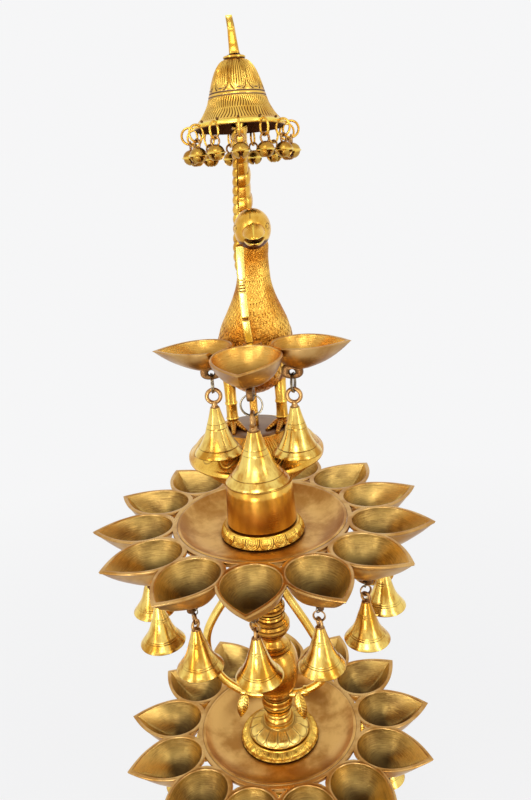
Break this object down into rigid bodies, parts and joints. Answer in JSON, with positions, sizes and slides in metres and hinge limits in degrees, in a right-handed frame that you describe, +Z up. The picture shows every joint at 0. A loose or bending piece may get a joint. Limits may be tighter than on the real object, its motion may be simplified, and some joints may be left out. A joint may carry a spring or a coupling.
{
  "type": "tiered oil lamp",
  "caption": "Tall two-tier brass oil lamp with rings of petal cups, hanging bells, a peacock on a lotus seat with larger cups before its breast and a bell-shaped canopy.",
  "frame": {"origin": "centre of the base on the surface it stands on", "axes": "+Z up along the centre rod, -Y towards the front, where the peacock looks, +X to the right"},
  "size_m": [0.3583, 0.3598, 1.0813],
  "materials": {
    "cast_brass": "cast and chased, polished high",
    "turned_brass": "satin, turned",
    "bell_brass": "polished, turned",
    "cup_brass": "brushed inside, bright rim",
    "rod_steel": "plain drawn rod"
  },
  "bodies": {
    "lamp": {"base_foot": "cast_brass", "base_dome": "cast_brass", "lower_petal_ring": "cast_brass", "middle_petal_ring": "cast_brass", "upper_petal_ring": "cast_brass", "lower_dish": "cast_brass", "upper_dish": "cast_brass", "lotus_seat": "cast_brass", "peacock": "cast_brass", "tail_plume": "cast_brass", "canopy": "cast_brass", "finial_leaf": "cast_brass", "beak_garland": "cast_brass", "lower_pot": "turned_brass", "lower_ribbed_stem": "turned_brass", "lower_collar": "turned_brass", "middle_pot": "turned_brass", "middle_ribbed_stem": "turned_brass", "middle_collar": "turned_brass", "upper_drum": "turned_brass", "left_scroll_arm": "turned_brass", "right_scroll_arm": "turned_brass", "lower_cup_ring": "cup_brass", "upper_cup_ring": "cup_brass", "breast_cups": "cup_brass", "centre_rod": "rod_steel", "base_nut": "rod_steel"},
    "lower_bell_1": {"lower_bell_1": "bell_brass"},
    "lower_bell_2": {"lower_bell_2": "bell_brass"},
    "lower_bell_3": {"lower_bell_3": "bell_brass"},
    "lower_bell_4": {"lower_bell_4": "bell_brass"},
    "lower_bell_5": {"lower_bell_5": "bell_brass"},
    "lower_bell_6": {"lower_bell_6": "bell_brass"},
    "lower_bell_7": {"lower_bell_7": "bell_brass"},
    "lower_bell_8": {"lower_bell_8": "bell_brass"},
    "lower_bell_9": {"lower_bell_9": "bell_brass"},
    "lower_bell_10": {"lower_bell_10": "bell_brass"},
    "lower_bell_11": {"lower_bell_11": "bell_brass"},
    "lower_bell_12": {"lower_bell_12": "bell_brass"},
    "lower_bell_13": {"lower_bell_13": "bell_brass"},
    "upper_bell_1": {"upper_bell_1": "bell_brass"},
    "upper_bell_2": {"upper_bell_2": "bell_brass"},
    "upper_bell_3": {"upper_bell_3": "bell_brass"},
    "upper_bell_4": {"upper_bell_4": "bell_brass"},
    "upper_bell_5": {"upper_bell_5": "bell_brass"},
    "upper_bell_6": {"upper_bell_6": "bell_brass"},
    "upper_bell_7": {"upper_bell_7": "bell_brass"},
    "upper_bell_8": {"upper_bell_8": "bell_brass"},
    "upper_bell_9": {"upper_bell_9": "bell_brass"},
    "upper_bell_10": {"upper_bell_10": "bell_brass"},
    "upper_bell_11": {"upper_bell_11": "bell_brass"},
    "upper_bell_12": {"upper_bell_12": "bell_brass"},
    "upper_bell_13": {"upper_bell_13": "bell_brass"},
    "left_breast_bell": {"left_breast_bell": "bell_brass"},
    "front_breast_bell": {"front_breast_bell": "bell_brass"},
    "right_breast_bell": {"right_breast_bell": "bell_brass"}
  },
  "joints": [
    {"name": "lower_bell_1_swing", "type": "hinge", "parent": "lamp", "child": "lower_bell_1", "pos_m": [-0.02383, -0.12373, 0.29445], "axis": [0.982, -0.1891, 0], "range_deg": [-20, 20]},
    {"name": "lower_bell_2_swing", "type": "hinge", "parent": "lamp", "child": "lower_bell_2", "pos_m": [0.0364, -0.12063, 0.29445], "axis": [0.9574, 0.2889, 0], "range_deg": [-20, 20]},
    {"name": "lower_bell_3_swing", "type": "hinge", "parent": "lamp", "child": "lower_bell_3", "pos_m": [0.08829, -0.08989, 0.29445], "axis": [0.7134, 0.7007, 0], "range_deg": [-20, 20]},
    {"name": "lower_bell_4_swing", "type": "hinge", "parent": "lamp", "child": "lower_bell_4", "pos_m": [0.11995, -0.03857, 0.29445], "axis": [0.3061, 0.952, 0], "range_deg": [-20, 20]},
    {"name": "lower_bell_5_swing", "type": "hinge", "parent": "lamp", "child": "lower_bell_5", "pos_m": [0.12413, 0.0216, 0.29445], "axis": [-0.1714, 0.9852, 0], "range_deg": [-20, 20]},
    {"name": "lower_bell_6_swing", "type": "hinge", "parent": "lamp", "child": "lower_bell_6", "pos_m": [0.09988, 0.07681, 0.29445], "axis": [-0.6096, 0.7927, 0], "range_deg": [-20, 20]},
    {"name": "lower_bell_7_swing", "type": "hinge", "parent": "lamp", "child": "lower_bell_7", "pos_m": [0.05274, 0.11443, 0.29445], "axis": [-0.9082, 0.4186, 0], "range_deg": [-20, 20]},
    {"name": "lower_bell_8_swing", "type": "hinge", "parent": "lamp", "child": "lower_bell_8", "pos_m": [-0.00648, 0.12583, 0.29445], "axis": [-0.9987, -0.0514, 0], "range_deg": [-20, 20]},
    {"name": "lower_bell_9_swing", "type": "hinge", "parent": "lamp", "child": "lower_bell_9", "pos_m": [-0.06421, 0.10841, 0.29445], "axis": [-0.8604, -0.5096, 0], "range_deg": [-20, 20]},
    {"name": "lower_bell_10_swing", "type": "hinge", "parent": "lamp", "child": "lower_bell_10", "pos_m": [-0.10724, 0.06615, 0.29445], "axis": [-0.525, -0.8511, 0], "range_deg": [-20, 20]},
    {"name": "lower_bell_11_swing", "type": "hinge", "parent": "lamp", "child": "lower_bell_11", "pos_m": [-0.1257, 0.00874, 0.29445], "axis": [-0.0694, -0.9976, 0], "range_deg": [-20, 20]},
    {"name": "lower_bell_12_swing", "type": "hinge", "parent": "lamp", "child": "lower_bell_12", "pos_m": [-0.11536, -0.05068, 0.29445], "axis": [0.4022, -0.9156, 0], "range_deg": [-20, 20]},
    {"name": "lower_bell_13_swing", "type": "hinge", "parent": "lamp", "child": "lower_bell_13", "pos_m": [-0.0786, -0.09848, 0.29445], "axis": [0.7816, -0.6238, 0], "range_deg": [-20, 20]},
    {"name": "upper_bell_1_swing", "type": "hinge", "parent": "lamp", "child": "upper_bell_1", "pos_m": [0, -0.126, 0.56445], "axis": [1, 0, 0], "range_deg": [-20, 20]},
    {"name": "upper_bell_2_swing", "type": "hinge", "parent": "lamp", "child": "upper_bell_2", "pos_m": [0.05856, -0.11157, 0.56445], "axis": [0.8855, 0.4647, 0], "range_deg": [-20, 20]},
    {"name": "upper_bell_3_swing", "type": "hinge", "parent": "lamp", "child": "upper_bell_3", "pos_m": [0.1037, -0.07158, 0.56445], "axis": [0.5681, 0.823, 0], "range_deg": [-20, 20]},
    {"name": "upper_bell_4_swing", "type": "hinge", "parent": "lamp", "child": "upper_bell_4", "pos_m": [0.12508, -0.01519, 0.56445], "axis": [0.1205, 0.9927, 0], "range_deg": [-20, 20]},
    {"name": "upper_bell_5_swing", "type": "hinge", "parent": "lamp", "child": "upper_bell_5", "pos_m": [0.11781, 0.04468, 0.56445], "axis": [-0.3546, 0.935, 0], "range_deg": [-20, 20]},
    {"name": "upper_bell_6_swing", "type": "hinge", "parent": "lamp", "child": "upper_bell_6", "pos_m": [0.08355, 0.09431, 0.56445], "axis": [-0.7485, 0.6631, 0], "range_deg": [-20, 20]},
    {"name": "upper_bell_7_swing", "type": "hinge", "parent": "lamp", "child": "upper_bell_7", "pos_m": [0.03015, 0.12234, 0.56445], "axis": [-0.9709, 0.2393, 0], "range_deg": [-20, 20]},
    {"name": "upper_bell_8_swing", "type": "hinge", "parent": "lamp", "child": "upper_bell_8", "pos_m": [-0.03015, 0.12234, 0.56445], "axis": [-0.9709, -0.2393, 0], "range_deg": [-20, 20]},
    {"name": "upper_bell_9_swing", "type": "hinge", "parent": "lamp", "child": "upper_bell_9", "pos_m": [-0.08355, 0.09431, 0.56445], "axis": [-0.7485, -0.6631, 0], "range_deg": [-20, 20]},
    {"name": "upper_bell_10_swing", "type": "hinge", "parent": "lamp", "child": "upper_bell_10", "pos_m": [-0.11781, 0.04468, 0.56445], "axis": [-0.3546, -0.935, 0], "range_deg": [-20, 20]},
    {"name": "upper_bell_11_swing", "type": "hinge", "parent": "lamp", "child": "upper_bell_11", "pos_m": [-0.12508, -0.01519, 0.56445], "axis": [0.1205, -0.9927, 0], "range_deg": [-20, 20]},
    {"name": "upper_bell_12_swing", "type": "hinge", "parent": "lamp", "child": "upper_bell_12", "pos_m": [-0.1037, -0.07158, 0.56445], "axis": [0.5681, -0.823, 0], "range_deg": [-20, 20]},
    {"name": "upper_bell_13_swing", "type": "hinge", "parent": "lamp", "child": "upper_bell_13", "pos_m": [-0.05856, -0.11157, 0.56445], "axis": [0.8855, -0.4647, 0], "range_deg": [-20, 20]},
    {"name": "left_breast_bell_swing", "type": "hinge", "parent": "lamp", "child": "left_breast_bell", "pos_m": [-0.02812, -0.06043, 0.77665], "axis": [0.1392, -0.9903, 0], "range_deg": [-20, 5]},
    {"name": "front_breast_bell_swing", "type": "hinge", "parent": "lamp", "child": "front_breast_bell", "pos_m": [0.0105, -0.09808, 0.76694], "axis": [1, 0, 0], "range_deg": [-20, 4]},
    {"name": "right_breast_bell_swing", "type": "hinge", "parent": "lamp", "child": "right_breast_bell", "pos_m": [0.04566, -0.05994, 0.77345], "axis": [0.1392, 0.9903, 0], "range_deg": [-20, 5]}
  ]
}
